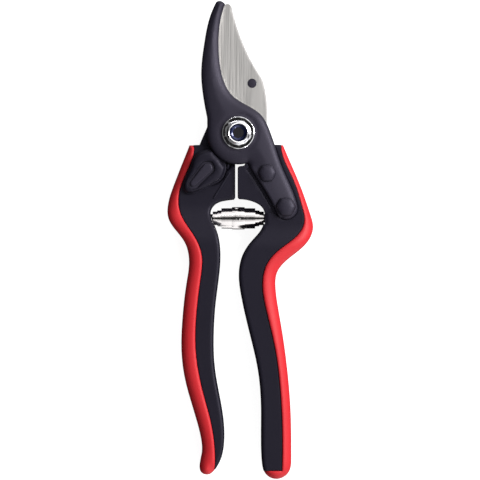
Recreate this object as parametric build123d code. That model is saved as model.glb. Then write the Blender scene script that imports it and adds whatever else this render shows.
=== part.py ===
from build123d import *
import os
from math import radians, sin, cos

os.makedirs("parts", exist_ok=True)

# A bypass hand pruner, lying on its back with its jaws shut. Millimetres.
# The origin is on the pivot's axis, in the plane that the tool rests on.
# +Z is up along the pivot, +Y points to the tip of the blade, +X is the hook's handle side.
# The hook side is fixed. The blade side turns about the pivot, and the catch turns on the blade side.

# ---- driving dimensions -------------------------------------------------------------------------

# heights above the resting plane, from the back of the tool to its front
BOLT_HEAD_TOP = 2.6
WASHER_TOP = 3.0
BOSS_BACK = 3.1
BLADE_BACK = 7.3
BLADE_FRONT = 10.4
SHEAR_FACE = 10.45
PLATE_FRONT = 13.6
COVER_FRONT = 17.0
NUT_TOP = 19.2
HANDLE_FRONT = 17.0
GRIP_FRONT = 18.0
NECK_FRONT = 10.3
TALL = 30.0

# the pivot
BOLT_RADIUS = 4.5
BOLT_HEAD_RADIUS = 7.5
THREAD_RADIUS = 3.0
RUNNING_GAP = 0.05
BUSH_RADIUS = 5.5
BOSS_RADIUS = 12.6
BLADE_ROUND = 12.2
PLATE_ROUND = 12.2
COVER_ROUND = 14.1
HANDLE_HOLLOW = 15.5
COVER_CLEARANCE = 0.6
HOLLOW_ENDS = {"right": -19.6, "left": 200.5, "left stop": 264}
NUT_NECK = 5.0
FLANGE_RADIUS = 7.3
FLANGE_THICK = 0.5
BOLT_TIP = 17.4
BOLT_EDGE = 0.6
SPANNER_HOLE_PLACE = 5.0
SPANNER_HOLE_RADIUS = 0.9
SPANNER_HOLE_DEPTH = 1.6

# the nut from its flange's edge in to the bowl, as (radius, height)
NUT_DISH = [(6.2, 17.75), (5.3, 18.2), (4.75, 18.8)]
NUT_RIM = [(4.5, NUT_TOP), (3.95, NUT_TOP)]
NUT_BOWL = [(3.7, 18.9), (3.3, 17.6), (THREAD_RADIUS, 17.2)]

# the head of each handle, where it is lower than the grips
RIGHT_HEAD_FRONT = 15.0
LEFT_HEAD_FRONT = 12.4
STOP_FRONT = 14.6
GROOVE_FLOOR = 14.1
RIGHT_RAMP = (-41.0, -52.0)
LEFT_RAMP = (-31.6, -50.0)

# the catch
CATCH = (-13.5, -15.5)
CATCH_DISC = 8.05
CATCH_SEAT = 8.5
CATCH_FLOOR = 11.0
CATCH_BACK = 11.3
CATCH_TAIL_BACK = 12.7
CATCH_STEP = 13.2
CATCH_FRONT = 17.0
CATCH_TRAVEL = 20
CATCH_CLEARANCE = 0.35
SWEEP_ANGLES = (170, 213, 256)
CATCH_WASHER_RADIUS = 3.4
CATCH_WASHER_THICK = 0.2

# the key set into the catch, over its screw
KEY_BACK = 14.8
KEY_TROUGH = 15.7
KEY_FRONT = 16.9
KEY_ROUND = 1.0
TROUGH_WIDTH = 1.1

# the catch's screw
CATCH_SCREW_RADIUS = 1.5
CATCH_SCREW_HEAD = 2.2
CATCH_SCREW_TIP = 10.7
CATCH_SCREW_SEAT = 13.7
CATCH_SCREW_FRONT = 14.7

# the spring, whose axis runs across the tool
SPRING_Y = -38.4
SPRING_Z = 8.5
SPRING_HALF = 11.6
SPRING_BORE = 2.15
SPRING_STEPS = [(-SPRING_HALF, -7.6, 3.1), (-7.6, -3.0, 4.7), (-3.0, 2.6, 5.1), (2.6, 7.6, 4.7),
                (7.6, SPRING_HALF, 3.1)]
PEG_RADIUS = 1.9
PEG_START = 7.5
PEG_END = 15.5
PEG_SEAT_RADIUS = 3.6
PEG_SEAT_END = 12.0

# fasteners: (x, y) of each, and the radii of shank and head
CAP_PLACES = {"upper": (13.0, -18.1, 4.1), "lower": (21.4, -33.3, 4.45)}
CAP_FRONT = 19.3
CAP_SCREW_TIP = 18.3
TANG_SCREWS = {"upper": (-6.9, -13.6), "lower": (-11.2, -23.2)}
SCREW_RADIUS = 2.0
SCREW_HEAD = 3.6
SCREW_HEAD_BACK = 0.8
SCREW_HEAD_FRONT = 3.2
TANG_SCREW_TIP = 10.2

PLUG_PLACE = (6.2, 22.6)
PLUG_RADIUS = 2.18

# edges: the blade's bevel across and deep, and how far the big edges are rounded or cut back
BEVEL_WIDTH = 4.5
BEVEL_DEPTH = 2.7
COVER_CHAMFER = 1.5
RIGHT_ROUND = 3.0
LEFT_ROUND = 1.5


# ---- outlines, seen from above ------------------------------------------------------------------

# the hook and its cover: outer edge from the tip down, inner edge from the tip down to the tongue
HOOK_OUTER = [(-9.9, 59), (-13.1, 51.3), (-15.3, 40.5), (-16.7, 26), (-15.9, 17), (-14, 6.7)]
HOOK_INNER = [(-6, 58), (-8.6, 46.3), (-8.7, 36.2), (-7.2, 25.7), (-2.7, 16.9), (3.9, 12.5), (10.3, 8.1),
              (14, 1.4), (16.6, -6), (20.1, -16), (24.3, -25.4), (26.8, -33.4)]
TONGUE_TIP = [(26.8, -33.4), (26, -36.6), (21.8, -39.1), (17.4, -36.3)]
TONGUE_LEFT = [(17.4, -36.3), (12.5, -26.7), (7.1, -18.3), (4.2, -13.46)]

# the steel plate under the cover, whose hook runs past the cover's inner edge and is trimmed flush with it
PLATE_INNER = [(-5.2, 57.4), (-7.3, 46.3), (-7.4, 36.2), (-5.8, 26), (-1.7, 18.3), (4.3, 14), (8.8, 10.2),
               (11.6, 4), (14.6, -6), (18.4, -16), (22.6, -25.4), (25.2, -33.4)]
PLATE_TIP = [(25.2, -33.4), (24.4, -36), (21.8, -37.4), (18.8, -35.4)]
PLATE_LEFT = [(18.8, -35.4), (14, -26.7), (8.6, -18.3), (4.2, -11.45)]
PLATE_OUTER = [(-12.2, 0), (-13.6, 17), (-14.4, 26), (-13, 40.5), (-10.8, 51.3), (-8.7, 57)]

# the blade: back edge from the tip down, cutting edge from the heel up
BLADE_SPINE = [(-3.1, 57.2), (-0.9, 48.8), (3.3, 37.8), (8, 28.9), (10.6, 25)]
BLADE_SHOULDER = [(10.6, 25), (11.7, 21), (12.2, 0)]
BLADE_EDGE = [(-12.2, 0), (-10.4, 10), (-9.8, 20), (-10.8, 31), (-10.9, 41), (-9.4, 50.5), (-6.2, 58)]
TANG_TOP = (-4, -2)
TANG_END = (-11.8, -25.6)
TANG_HALF = 4.4

# the right handle: outer edge from the top, round its end and back up to the stop
RIGHT_EDGE = [(20.2, -5.4), (24.1, -14.5), (28.8, -25.7), (32.6, -36.8), (33.8, -42.5), (31.9, -48.1),
              (22.1, -57.1), (17.4, -63), (16.8, -70), (18.9, -84.2), (22.1, -106.7), (23.7, -128),
              (23.9, -146), (22.6, -153), (17.1, -155.9), (12.2, -153.4), (10.5, -147), (10.3, -124.7),
              (8.8, -106.7), (4.7, -88.7), (1.2, -73), (0.2, -63.5), (2, -54.8), (6.5, -48.1),
              (10.4, -43.4), (11.9, -38.6), (11.4, -34.2), (7.5, -31.1), (0.5, -29.7)]
RIGHT_SEAM = [(19.4, -4), (19.6, -9), (24.8, -21.2), (28.6, -33), (29.7, -40.2), (27.8, -44.6), (18.4, -52.6),
              (12.4, -60), (10.9, -68), (12.6, -79.7), (16.7, -97.7), (18.9, -115.7), (19.8, -133.7),
              (19.7, -152)]
STOP_RIGHT = [(-0.3, -29.6), (-0.3, -15.0), (2.9, -14.75), (3.2, -13.1)]

# the left handle: outer edge from the top, round its end and back up to the stop
LEFT_EDGE = [(-22.1, -5.4), (-25.7, -14.4), (-29.2, -23.4), (-31.7, -31.5), (-31.6, -38.4), (-28.4, -43.6),
             (-24.3, -49), (-22.2, -57.1), (-23.4, -68), (-25.2, -84), (-25.7, -94), (-24.4, -109),
             (-20.2, -124.7), (-17, -136.5), (-16.4, -143.5), (-17.4, -149), (-16.7, -152.9), (-13.6, -153.9),
             (-10.4, -151.4), (-7.4, -145.5), (-6.3, -137), (-8, -121.5), (-10.6, -106.7), (-11.2, -93),
             (-10.2, -76), (-8.3, -60), (-8.4, -50), (-10.6, -42), (-12.5, -35), (-10.4, -32),
             (-6.7, -30.5), (-2, -29.9)]
LEFT_SEAM = [(-20.2, -4), (-20.4, -10), (-23.9, -18.9), (-27, -28.6), (-25.8, -37), (-20.2, -45.9),
             (-16.5, -55), (-17.1, -66), (-19.1, -84), (-19.3, -96), (-16.2, -115.7), (-12.2, -131),
             (-10.8, -140.5), (-11.2, -156)]
STOP_LEFT = [(-1.4, -29), (-1.4, -15)]
NECK = [(-13.9, 3.2), (-16.7, -3.2), (-18, -6.5), (-14, -13), (-1.4, -16), (-1.4, -11), (-8, -8), (-11, 0)]

# the catch's tail, from the lower side of its disc round the tip to the upper side
CATCH_TAIL = [(-9.1, -22.2), (-13.9, -24.6), (-18.2, -26.7), (-21.6, -27.6), (-24.6, -26.7), (-25.2, -24.2),
              (-23.4, -19), (-21.3, -13.4)]
CROWN_DISC = 7.4
CROWN_TAIL = [(-9.1, -21.5), (-13.8, -24.0), (-18.2, -26.1), (-21.5, -27.0), (-24.1, -26.2), (-24.6, -24.2),
              (-22.8, -18.9), (-20.65, -13.55)]
KEY = [(-15.1, -13.9), (-12.4, -13.7), (-11.3, -16.4), (-19.9, -24.4), (-22.3, -23.3)]

# the right handle's lower places: the sunk strip beside the tongue, and the top of its stop
SUNK_STRIP = [(3.6, -16.4), (6.6, -20), (11.5, -28.3), (16.4, -36.6), (19, -38), (14, -26.7), (8.6, -18.3),
              (6, -14)]
STOP_TOP = [(-5, -10), (4.6, -12), (4.6, -17.1), (7.1, -20.1), (12, -28.4), (16.4, -36.2), (-5, -34)]

# the left handle's narrow ridge, from end to end, and half its width
RIDGE = ((-3.8, -17.6), (-11.2, -29.6))
RIDGE_HALF = 0.45
RIDGE_HEIGHT = 0.5


# ---- helpers ------------------------------------------------------------------------------------

def region(*lines):
    """The flat region inside a closed run of lines."""
    edges = [edge for line in lines for edge in line.edges()]
    return make_face(edges)


def prism(flat, back, front):
    """A flat region stood up between two heights."""
    return extrude(Pos(0, 0, back) * flat, front - back)


def disc(place, radius, back, front):
    """A short round bar along Z."""
    return Pos(place[0], place[1], (back + front) / 2) * Cylinder(radius, front - back)


def turned(profile, place=(0, 0)):
    """A solid of revolution about Z, from (radius, height) points."""
    flat = make_face(Polyline([(r, 0, z) for r, z in profile], close=True).edges())
    return Pos(place[0], place[1], 0) * revolve(flat, Axis.Z)


def polar(radius, angle):
    """The point at that radius and angle about the pivot."""
    return (radius * cos(radians(angle)), radius * sin(radians(angle)))


def edges_at(solid, height, shortest=0):
    """The solid's edges that lie at one height and are longer than a given length."""
    level = [e for e in solid.edges() if abs(e.bounding_box().min.Z - height) < 0.01]
    return [e for e in level if abs(e.bounding_box().max.Z - height) < 0.01 and e.length > shortest]


def ramp_cut(low, high, ramp, x_from, x_to):
    """Everything above a handle's head: flat at the head, then a slope up to the grip."""
    side = [(20, low), (ramp[0], low), (ramp[1], high), (ramp[1], TALL), (20, TALL)]
    flat = make_face(Polyline([(x_from, y, z) for y, z in side], close=True).edges())
    return extrude(flat, x_to - x_from, dir=(1, 0, 0))


def write(name, shape):
    """Save one sub-part."""
    export_step(shape, f"parts/{name}.step")


# ---- flat regions -------------------------------------------------------------------------------

def cover_region():
    """The hook's cover from above: hook, boss and tongue."""
    tip = Spline(HOOK_INNER[0], (-8.2, 59.5), HOOK_OUTER[0])
    outer = Spline(HOOK_OUTER)
    corner = Line(HOOK_OUTER[-1], (-14, 1.7))
    round_edge = ThreePointArc((-14, 1.7), polar(COVER_ROUND, 228), TONGUE_LEFT[-1])
    return region(tip, outer, corner, round_edge, Spline(TONGUE_LEFT), Spline(TONGUE_TIP), Spline(HOOK_INNER))


def plate_region():
    """The steel plate under the cover, a little narrower than it."""
    tip = Line(PLATE_INNER[0], PLATE_OUTER[-1])
    round_edge = ThreePointArc(PLATE_OUTER[0], polar(PLATE_ROUND, 235), PLATE_LEFT[-1])
    left = Spline(PLATE_LEFT)
    return region(tip, Spline(PLATE_OUTER), round_edge, left, Spline(PLATE_TIP), Spline(PLATE_INNER))


def blade_region():
    """The blade from above, with its tang."""
    tip = Spline(BLADE_EDGE[-1], (-4.4, 58.5), BLADE_SPINE[0])
    round_edge = ThreePointArc(BLADE_SHOULDER[-1], (0, -BLADE_ROUND), BLADE_EDGE[0])
    body = region(tip, Spline(BLADE_SPINE), Spline(BLADE_SHOULDER), round_edge, Spline(BLADE_EDGE))
    return body + tang_region()


def tang_region():
    along = (Vector(*TANG_END) - Vector(*TANG_TOP)).normalized()
    across = Vector(along.Y, -along.X) * TANG_HALF
    ends = [Vector(*TANG_TOP), Vector(*TANG_END)]
    corners = [ends[0] + across, ends[1] + across, ends[1] - across, ends[0] - across]
    return region(Polyline([(p.X, p.Y) for p in corners], close=True))


def right_region():
    """The right handle from above, hollow where the boss turns and square where it stops the left one."""
    hollow_end = polar(HANDLE_HOLLOW, HOLLOW_ENDS["right"])
    hollow = ThreePointArc(STOP_RIGHT[-1], polar(HANDLE_HOLLOW - 0.7, -45), hollow_end)
    stop = FilletPolyline([RIGHT_EDGE[-1], *STOP_RIGHT], radius=0.5)
    return region(hollow, Line(hollow_end, RIGHT_EDGE[0]), Spline(RIGHT_EDGE), stop)


def left_region():
    """The left handle from above, hollow round the cover and square where it stops."""
    radius = COVER_ROUND + COVER_CLEARANCE
    hollow_start, hollow_end = polar(radius, HOLLOW_ENDS["left"]), polar(radius, HOLLOW_ENDS["left stop"])
    hollow = ThreePointArc(hollow_start, polar(radius, 232), hollow_end)
    stop = Polyline([LEFT_EDGE[-1], *STOP_LEFT, hollow_end])
    return region(hollow, Line(hollow_start, LEFT_EDGE[0]), Spline(LEFT_EDGE), stop)


def right_inlay_side():
    """Everything on the inner side of the right handle's seam with its grip."""
    far = Polyline([RIGHT_SEAM[-1], (-20, -152), (-20, -4), RIGHT_SEAM[0]])
    return region(Spline(RIGHT_SEAM), far)


def left_inlay_side():
    """Everything on the inner side of the left handle's seam with its grip."""
    far = Polyline([LEFT_SEAM[-1], (10, -156), (10, -4), LEFT_SEAM[0]])
    return region(Spline(LEFT_SEAM), far)


def drop_region(tail, radius):
    """The catch's drop shape: a round end about its screw, and a tail."""
    top = (CATCH[0] + radius * cos(radians(50)), CATCH[1] + radius * sin(radians(50)))
    return region(ThreePointArc(tail[-1], top, tail[0]), Spline(tail))


# ---- the hook side ------------------------------------------------------------------------------

def screw_bores(places, front):
    """The bores for screws that go in from the back."""
    bores = [disc(p, SCREW_RADIUS, 0, front) + disc(p, SCREW_HEAD, 0, SCREW_HEAD_FRONT) for p in places]
    return bores[0] + bores[1]


def cap_places():
    return [place[:2] for place in CAP_PLACES.values()]


def ridge(start, end, half, back, front):
    """A narrow straight rib with round ends."""
    along = (Vector(*end) - Vector(*start)).normalized()
    across = Vector(along.Y, -along.X) * half
    corners = [Vector(*start) + across, Vector(*end) + across, Vector(*end) - across, Vector(*start) - across]
    flat = region(Polyline([(p.X, p.Y) for p in corners], close=True))
    return prism(flat, back, front) + disc(start, half, back, front) + disc(end, half, back, front)


def right_shell():
    """The right handle and its grip as one rounded body, before they are divided."""
    shell = prism(right_region(), 0, GRIP_FRONT)
    shell = fillet(edges_at(shell, 0, 100) + edges_at(shell, GRIP_FRONT, 100), RIGHT_ROUND)
    return shell - ramp_cut(RIGHT_HEAD_FRONT, GRIP_FRONT, RIGHT_RAMP, -5, 40)


def make_right_handle():
    handle = right_shell() & prism(right_inlay_side(), 0, HANDLE_FRONT)
    tongue_bed = prism(cover_region(), SHEAR_FACE, TALL)
    handle = handle - tongue_bed - prism(region(Polyline(STOP_TOP, close=True)), STOP_FRONT, TALL)
    handle = handle - prism(region(Polyline(SUNK_STRIP, close=True)), GROOVE_FLOOR, TALL)
    handle = handle - screw_bores(cap_places(), TALL)
    return handle - peg_bore(1)


def make_right_grip():
    return right_shell() - prism(right_inlay_side(), -1, TALL)


def make_hook_cover():
    cover = prism(cover_region(), SHEAR_FACE + 0.05, COVER_FRONT)
    cover = chamfer(edges_at(cover, COVER_FRONT), COVER_CHAMFER)
    cover = cover - prism(plate_region(), SHEAR_FACE, PLATE_FRONT)
    cover = cover - prism(catch_sweep(), SHEAR_FACE, PLATE_FRONT)
    cover = cover - disc((0, 0), NUT_NECK, SHEAR_FACE, TALL)
    for place in cap_places():
        cover = cover - disc(place, SCREW_RADIUS, SHEAR_FACE, TALL)
    return cover


def catch_sweep():
    """The sector round the pivot that the catch's flange sweeps through, under the cover's edge."""
    radius, start, middle, end = PLATE_ROUND - 0.5, *SWEEP_ANGLES
    inner = ThreePointArc(polar(radius, start), polar(radius, middle), polar(radius, end))
    far = Polyline([inner @ 1, polar(22, end), polar(26, middle), polar(22, start), inner @ 0])
    return region(inner, far)


def make_counter_blade():
    plate = prism(plate_region(), SHEAR_FACE, PLATE_FRONT) & prism(cover_region(), 0, TALL)
    plate = plate - disc((0, 0), BOLT_RADIUS, 0, TALL)
    for place in cap_places():
        plate = plate - disc(place, SCREW_RADIUS, 0, TALL)
    return plate


def make_tongue_cap(place, radius):
    """A six-sided domed cap, threaded onto the screw under it."""
    dome = [(0, COVER_FRONT), (radius, COVER_FRONT), (radius, COVER_FRONT + 0.7),
            (radius * 0.86, CAP_FRONT - 0.6), (radius * 0.6, CAP_FRONT), (0, CAP_FRONT)]
    flats = Pos(place[0], place[1], COVER_FRONT) * extrude(RegularPolygon(radius * 1.06, 6), CAP_FRONT)
    return (turned(dome, place) & flats) - disc(place, SCREW_RADIUS, COVER_FRONT, CAP_FRONT - 0.8)


def make_screw(place, tip):
    """A flat-headed screw that goes in from the back, with a hexagon socket."""
    profile = [(0, SCREW_HEAD_BACK), (SCREW_HEAD, SCREW_HEAD_BACK), (SCREW_HEAD, SCREW_HEAD_FRONT),
               (SCREW_RADIUS, SCREW_HEAD_FRONT), (SCREW_RADIUS, tip - 0.4), (SCREW_RADIUS - 0.4, tip),
               (0, tip)]
    socket = Pos(place[0], place[1], SCREW_HEAD_BACK) * extrude(RegularPolygon(1.7, 6), 1.5)
    return turned(profile, place) - socket


# ---- the pivot ----------------------------------------------------------------------------------

def make_pivot_bolt():
    """The bolt, whose head has two holes for a pin spanner."""
    head = [(0, 0), (BOLT_HEAD_RADIUS - BOLT_EDGE, 0), (BOLT_HEAD_RADIUS, BOLT_EDGE),
            (BOLT_HEAD_RADIUS, BOLT_HEAD_TOP), (BOLT_RADIUS, BOLT_HEAD_TOP)]
    shank = [(BOLT_RADIUS, PLATE_FRONT), (THREAD_RADIUS, PLATE_FRONT), (THREAD_RADIUS, BOLT_TIP - BOLT_EDGE),
             (THREAD_RADIUS - BOLT_EDGE, BOLT_TIP), (0, BOLT_TIP)]
    bolt = turned(head + shank)
    for side in (-1, 1):
        bolt = bolt - disc((side * SPANNER_HOLE_PLACE, 0), SPANNER_HOLE_RADIUS, 0, SPANNER_HOLE_DEPTH)
    return bolt


def make_pivot_washer():
    return disc((0, 0), BOLT_HEAD_RADIUS, BOLT_HEAD_TOP, WASHER_TOP) - disc((0, 0), BOLT_RADIUS, 0, TALL)


def make_pivot_bush():
    bore = disc((0, 0), BOLT_RADIUS + RUNNING_GAP, 0, TALL)
    return disc((0, 0), BUSH_RADIUS, BOSS_BACK, BLADE_FRONT) - bore


def make_pivot_nut():
    """A nut with a dished flange and a raised rim round its bowl."""
    neck = [(THREAD_RADIUS, PLATE_FRONT), (NUT_NECK, PLATE_FRONT), (NUT_NECK, COVER_FRONT)]
    flange = [(FLANGE_RADIUS, COVER_FRONT), (FLANGE_RADIUS, COVER_FRONT + FLANGE_THICK)]
    return turned(neck + flange + NUT_DISH + NUT_RIM + NUT_BOWL)


# ---- the spring ---------------------------------------------------------------------------------

def across(start, end, radius):
    """A round bar along X at the spring's height."""
    return Pos((start + end) / 2, SPRING_Y, SPRING_Z) * Rot(0, 90, 0) * Cylinder(radius, end - start)


def make_volute_spring():
    """The outer shape of the strip wound as a double cone, hollow along its axis."""
    spring = across(*SPRING_STEPS[0])
    for step in SPRING_STEPS[1:]:
        spring = spring + across(*step)
    return spring - across(-SPRING_HALF, SPRING_HALF, SPRING_BORE)


def peg_bore(side):
    """The bore for a peg and the shallow seat round it, on the right (1) or the left (-1)."""
    bore = across(PEG_START, PEG_END, PEG_RADIUS)
    seat = across(PEG_START, PEG_SEAT_END, PEG_SEAT_RADIUS)
    return bore + seat if side > 0 else mirror(bore + seat, Plane.YZ)


def make_spring_peg(side):
    peg = across(PEG_START, PEG_END, PEG_RADIUS)
    return peg if side > 0 else mirror(peg, Plane.YZ)


# ---- the blade side -----------------------------------------------------------------------------

def make_blade():
    blade = prism(blade_region(), BLADE_BACK, BLADE_FRONT)
    back = blade.faces().sort_by(Axis.Z)[0]
    sharp = [e for e in edges_at(blade, BLADE_BACK, 50) if e.center().X < -5]
    blade = chamfer(sharp, BEVEL_WIDTH, BEVEL_DEPTH, reference=back)
    blade = blade - disc((0, 0), BUSH_RADIUS, 0, TALL) - disc(PLUG_PLACE, PLUG_RADIUS, 0, TALL)
    for place in TANG_SCREWS.values():
        blade = blade - disc(place, SCREW_RADIUS, 0, TALL)
    return blade


def make_blade_plug():
    return disc(PLUG_PLACE, PLUG_RADIUS, BLADE_BACK, BLADE_FRONT)


def left_shell():
    """The left handle's outer part and its grip as one body, before they are divided."""
    shell = prism(left_region(), 0, GRIP_FRONT)
    shell = fillet(edges_at(shell, 0, 100) + edges_at(shell, GRIP_FRONT, 100), LEFT_ROUND)
    return shell - ramp_cut(LEFT_HEAD_FRONT, GRIP_FRONT, LEFT_RAMP, -40, 5)


def make_left_handle():
    handle = left_shell() & prism(left_inlay_side(), 0, HANDLE_FRONT)
    neck = prism(region(Polyline(NECK, close=True)), BOSS_BACK, NECK_FRONT)
    boss = disc((0, 0), BOSS_RADIUS, BOSS_BACK, BLADE_BACK)
    handle = handle + neck + boss
    handle = handle + ridge(*RIDGE, RIDGE_HALF, NECK_FRONT, LEFT_HEAD_FRONT + RIDGE_HEIGHT)
    handle = handle - prism(blade_region(), BLADE_BACK, BLADE_FRONT) - disc((0, 0), BUSH_RADIUS, 0, TALL)
    handle = handle - disc((0, 0), BOLT_HEAD_RADIUS + 0.6, -1, BOSS_BACK)
    handle = handle - disc(CATCH, CATCH_SEAT, CATCH_FLOOR, TALL)
    handle = handle - disc(CATCH, CATCH_SCREW_RADIUS, CATCH_SCREW_TIP, TALL)
    handle = handle - screw_bores(list(TANG_SCREWS.values()), TANG_SCREW_TIP)
    return handle - peg_bore(-1)


def make_left_grip():
    return left_shell() - prism(left_inlay_side(), -1, TALL)


# ---- the catch ----------------------------------------------------------------------------------

def key_region():
    return region(FilletPolyline(KEY, radius=KEY_ROUND, close=True))


def cover_path():
    """Where the cover's round edge passes, seen from the catch as it turns, with a little to spare."""
    reach = Vector(-CATCH[0], -CATCH[1])
    places = [Vector(*CATCH) + reach.rotate(Axis.Z, -CATCH_TRAVEL * k / 2) for k in range(3)]
    radius = COVER_ROUND + CATCH_CLEARANCE
    discs = [disc((p.X, p.Y), radius, CATCH_STEP, TALL) for p in places]
    return discs[0] + discs[1] + discs[2]


def make_catch_lever():
    """A drop-shaped lever on a round flange. Its crown is cut back where it passes the pivot's cover."""
    flange = disc(CATCH, CATCH_DISC, CATCH_BACK, CATCH_STEP)
    lever = flange + prism(drop_region(CATCH_TAIL, CATCH_DISC), CATCH_TAIL_BACK, CATCH_STEP)
    crown = prism(drop_region(CROWN_TAIL, CROWN_DISC), CATCH_STEP, CATCH_FRONT) - cover_path()
    lever = lever + crown - prism(offset(key_region(), TROUGH_WIDTH), KEY_BACK, TALL)
    lever = lever - disc(CATCH, CATCH_SCREW_HEAD + 0.1, CATCH_SCREW_SEAT - 0.1, TALL)
    return lever - disc(CATCH, CATCH_SCREW_RADIUS + RUNNING_GAP, 0, TALL)


def make_catch_key():
    """The plate that covers the catch's screw, with a raised key for the thumb and a trough round it."""
    plate = prism(offset(key_region(), TROUGH_WIDTH), KEY_BACK, KEY_TROUGH)
    return plate + prism(key_region(), KEY_BACK, KEY_FRONT)


def make_catch_screw():
    radius = CATCH_SCREW_RADIUS
    shank = [(0, CATCH_SCREW_TIP), (radius, CATCH_SCREW_TIP), (radius, CATCH_SCREW_SEAT)]
    head = [(CATCH_SCREW_HEAD, CATCH_SCREW_SEAT), (CATCH_SCREW_HEAD, CATCH_SCREW_FRONT),
            (0, CATCH_SCREW_FRONT)]
    return turned(shank + head, CATCH)


def make_catch_washer():
    washer = disc(CATCH, CATCH_WASHER_RADIUS, CATCH_FLOOR, CATCH_FLOOR + CATCH_WASHER_THICK)
    return washer - disc(CATCH, CATCH_SCREW_RADIUS, 0, TALL)


# ---- all the parts ------------------------------------------------------------------------------

write("right_handle", make_right_handle())
write("right_grip", make_right_grip())
write("hook_cover", make_hook_cover())
write("counter_blade", make_counter_blade())
for level, (x, y, size) in CAP_PLACES.items():
    write(f"tongue_cap_{level}", make_tongue_cap((x, y), size))
    write(f"tongue_screw_{level}", make_screw((x, y), CAP_SCREW_TIP))
write("pivot_bolt", make_pivot_bolt())
write("pivot_washer", make_pivot_washer())
write("pivot_bush", make_pivot_bush())
write("pivot_nut", make_pivot_nut())
write("volute_spring", make_volute_spring())
write("spring_peg_right", make_spring_peg(1))
write("spring_peg_left", make_spring_peg(-1))
write("blade", make_blade())
write("blade_plug", make_blade_plug())
write("left_handle", make_left_handle())
write("left_grip", make_left_grip())
for level, place in TANG_SCREWS.items():
    write(f"tang_screw_{level}", make_screw(place, TANG_SCREW_TIP))
write("catch_lever", make_catch_lever())
write("catch_key", make_catch_key())
write("catch_screw", make_catch_screw())
write("catch_washer", make_catch_washer())
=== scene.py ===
import math

import bmesh
import bpy
import numpy as np
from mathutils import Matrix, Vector
from mathutils.geometry import delaunay_2d_cdt
from mathutils.kdtree import KDTree


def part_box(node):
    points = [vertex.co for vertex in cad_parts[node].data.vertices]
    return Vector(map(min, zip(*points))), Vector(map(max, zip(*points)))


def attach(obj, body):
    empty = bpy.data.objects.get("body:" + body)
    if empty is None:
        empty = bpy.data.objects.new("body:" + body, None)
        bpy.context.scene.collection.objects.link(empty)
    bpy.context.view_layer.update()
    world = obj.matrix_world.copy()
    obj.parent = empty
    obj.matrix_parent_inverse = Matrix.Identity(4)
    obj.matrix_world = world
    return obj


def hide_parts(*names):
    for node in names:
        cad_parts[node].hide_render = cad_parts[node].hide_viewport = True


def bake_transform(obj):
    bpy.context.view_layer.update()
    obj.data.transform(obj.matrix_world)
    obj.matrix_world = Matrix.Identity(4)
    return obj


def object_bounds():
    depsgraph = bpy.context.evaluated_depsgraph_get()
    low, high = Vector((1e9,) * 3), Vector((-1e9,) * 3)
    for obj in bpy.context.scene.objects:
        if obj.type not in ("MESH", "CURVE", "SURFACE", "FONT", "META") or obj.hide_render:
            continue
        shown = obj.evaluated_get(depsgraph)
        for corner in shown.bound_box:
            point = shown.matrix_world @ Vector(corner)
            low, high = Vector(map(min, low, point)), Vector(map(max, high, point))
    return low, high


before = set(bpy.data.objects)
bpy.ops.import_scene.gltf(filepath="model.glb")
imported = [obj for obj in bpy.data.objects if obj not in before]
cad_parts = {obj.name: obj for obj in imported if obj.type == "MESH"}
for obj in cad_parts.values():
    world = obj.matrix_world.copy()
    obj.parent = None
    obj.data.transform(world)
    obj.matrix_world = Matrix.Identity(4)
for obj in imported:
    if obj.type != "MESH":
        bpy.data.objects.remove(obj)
CAD_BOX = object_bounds()

# The pieces are worked out in millimetres, and become metres when a mesh is made.
# The materials' relief and the studio are in metres.
MM = 0.001
GRID = 0.9          # spacing of the points inside a surface
GRID_ROWS = 0.87    # the rows of that grid are this share of its spacing apart
GRID_ROOM = 0.62    # a grid point needs this share of the spacing free round it
EDGE = 0.55         # spacing of the points along an outline
STEP_WIDTH = 0.12   # plan width of an upright step between two levels
STEP_ROOM = 1.5     # a level's rows stay this many step widths inside the outline
STEP_FOOT = 0.5     # a point nearer to a level's outline than this many step widths is at the step's foot
FINE_REACH = 1.2    # a level's rounding gets rows out to this many of its radii
ROW_ROOM = 0.93     # a row is kept where it is this share of its width from every outline
PROBE = 0.2         # how far inside the outline its points are tested for the levels that cover them
DOUBLE = 0.05       # points nearer than this become one
THINNEST = 0.05     # a solid is nowhere thinner than this
SMOOTHINGS = 2      # how many times the points between an outline's corners are evened out
CORNER = 24.0       # a sharper turn than this, in degrees, is kept as a corner
CREASE = 34         # faces that meet at a sharper angle than this, in degrees, aren't shaded smooth
SHARED = 0.25       # outlines nearer than this are one seam
JOIN = 0.002        # corners of a mesh nearer than this are joined
SLIVER = 1e-7       # triangles with less area than this, doubled, are dropped
TOLERANCE = 1e-6
FAR = 1e6           # farther than anything here
TINY = 1e-12
BATCH = 2000        # points whose distances are worked out together


# ---- outlines, read from the CAD parts -----------------------------------------------------------

def box_mm(node):
    """A CAD part's box in millimetres: (low, high)."""
    low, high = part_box(node)
    return np.array(low) / MM, np.array(high) / MM


def cut_segments(mesh, height):
    """The line pieces in which a mesh crosses one height."""
    mesh.calc_loop_triangles()
    points = np.array([v.co for v in mesh.vertices]) / MM
    segments = []
    for triangle in mesh.loop_triangles:
        corners = [tuple(points[i]) for i in triangle.vertices]
        crossings = []
        for a, b in ((0, 1), (1, 2), (2, 0)):
            p, q = sorted((corners[a], corners[b]))
            if (p[2] > height) != (q[2] > height):
                share = (height - p[2]) / (q[2] - p[2])
                x = p[0] + share * (q[0] - p[0])
                y = p[1] + share * (q[1] - p[1])
                crossings.append((round(x, 5), round(y, 5)))
        if len(crossings) == 2 and crossings[0] != crossings[1]:
            segments.append(crossings)
    return segments


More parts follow.
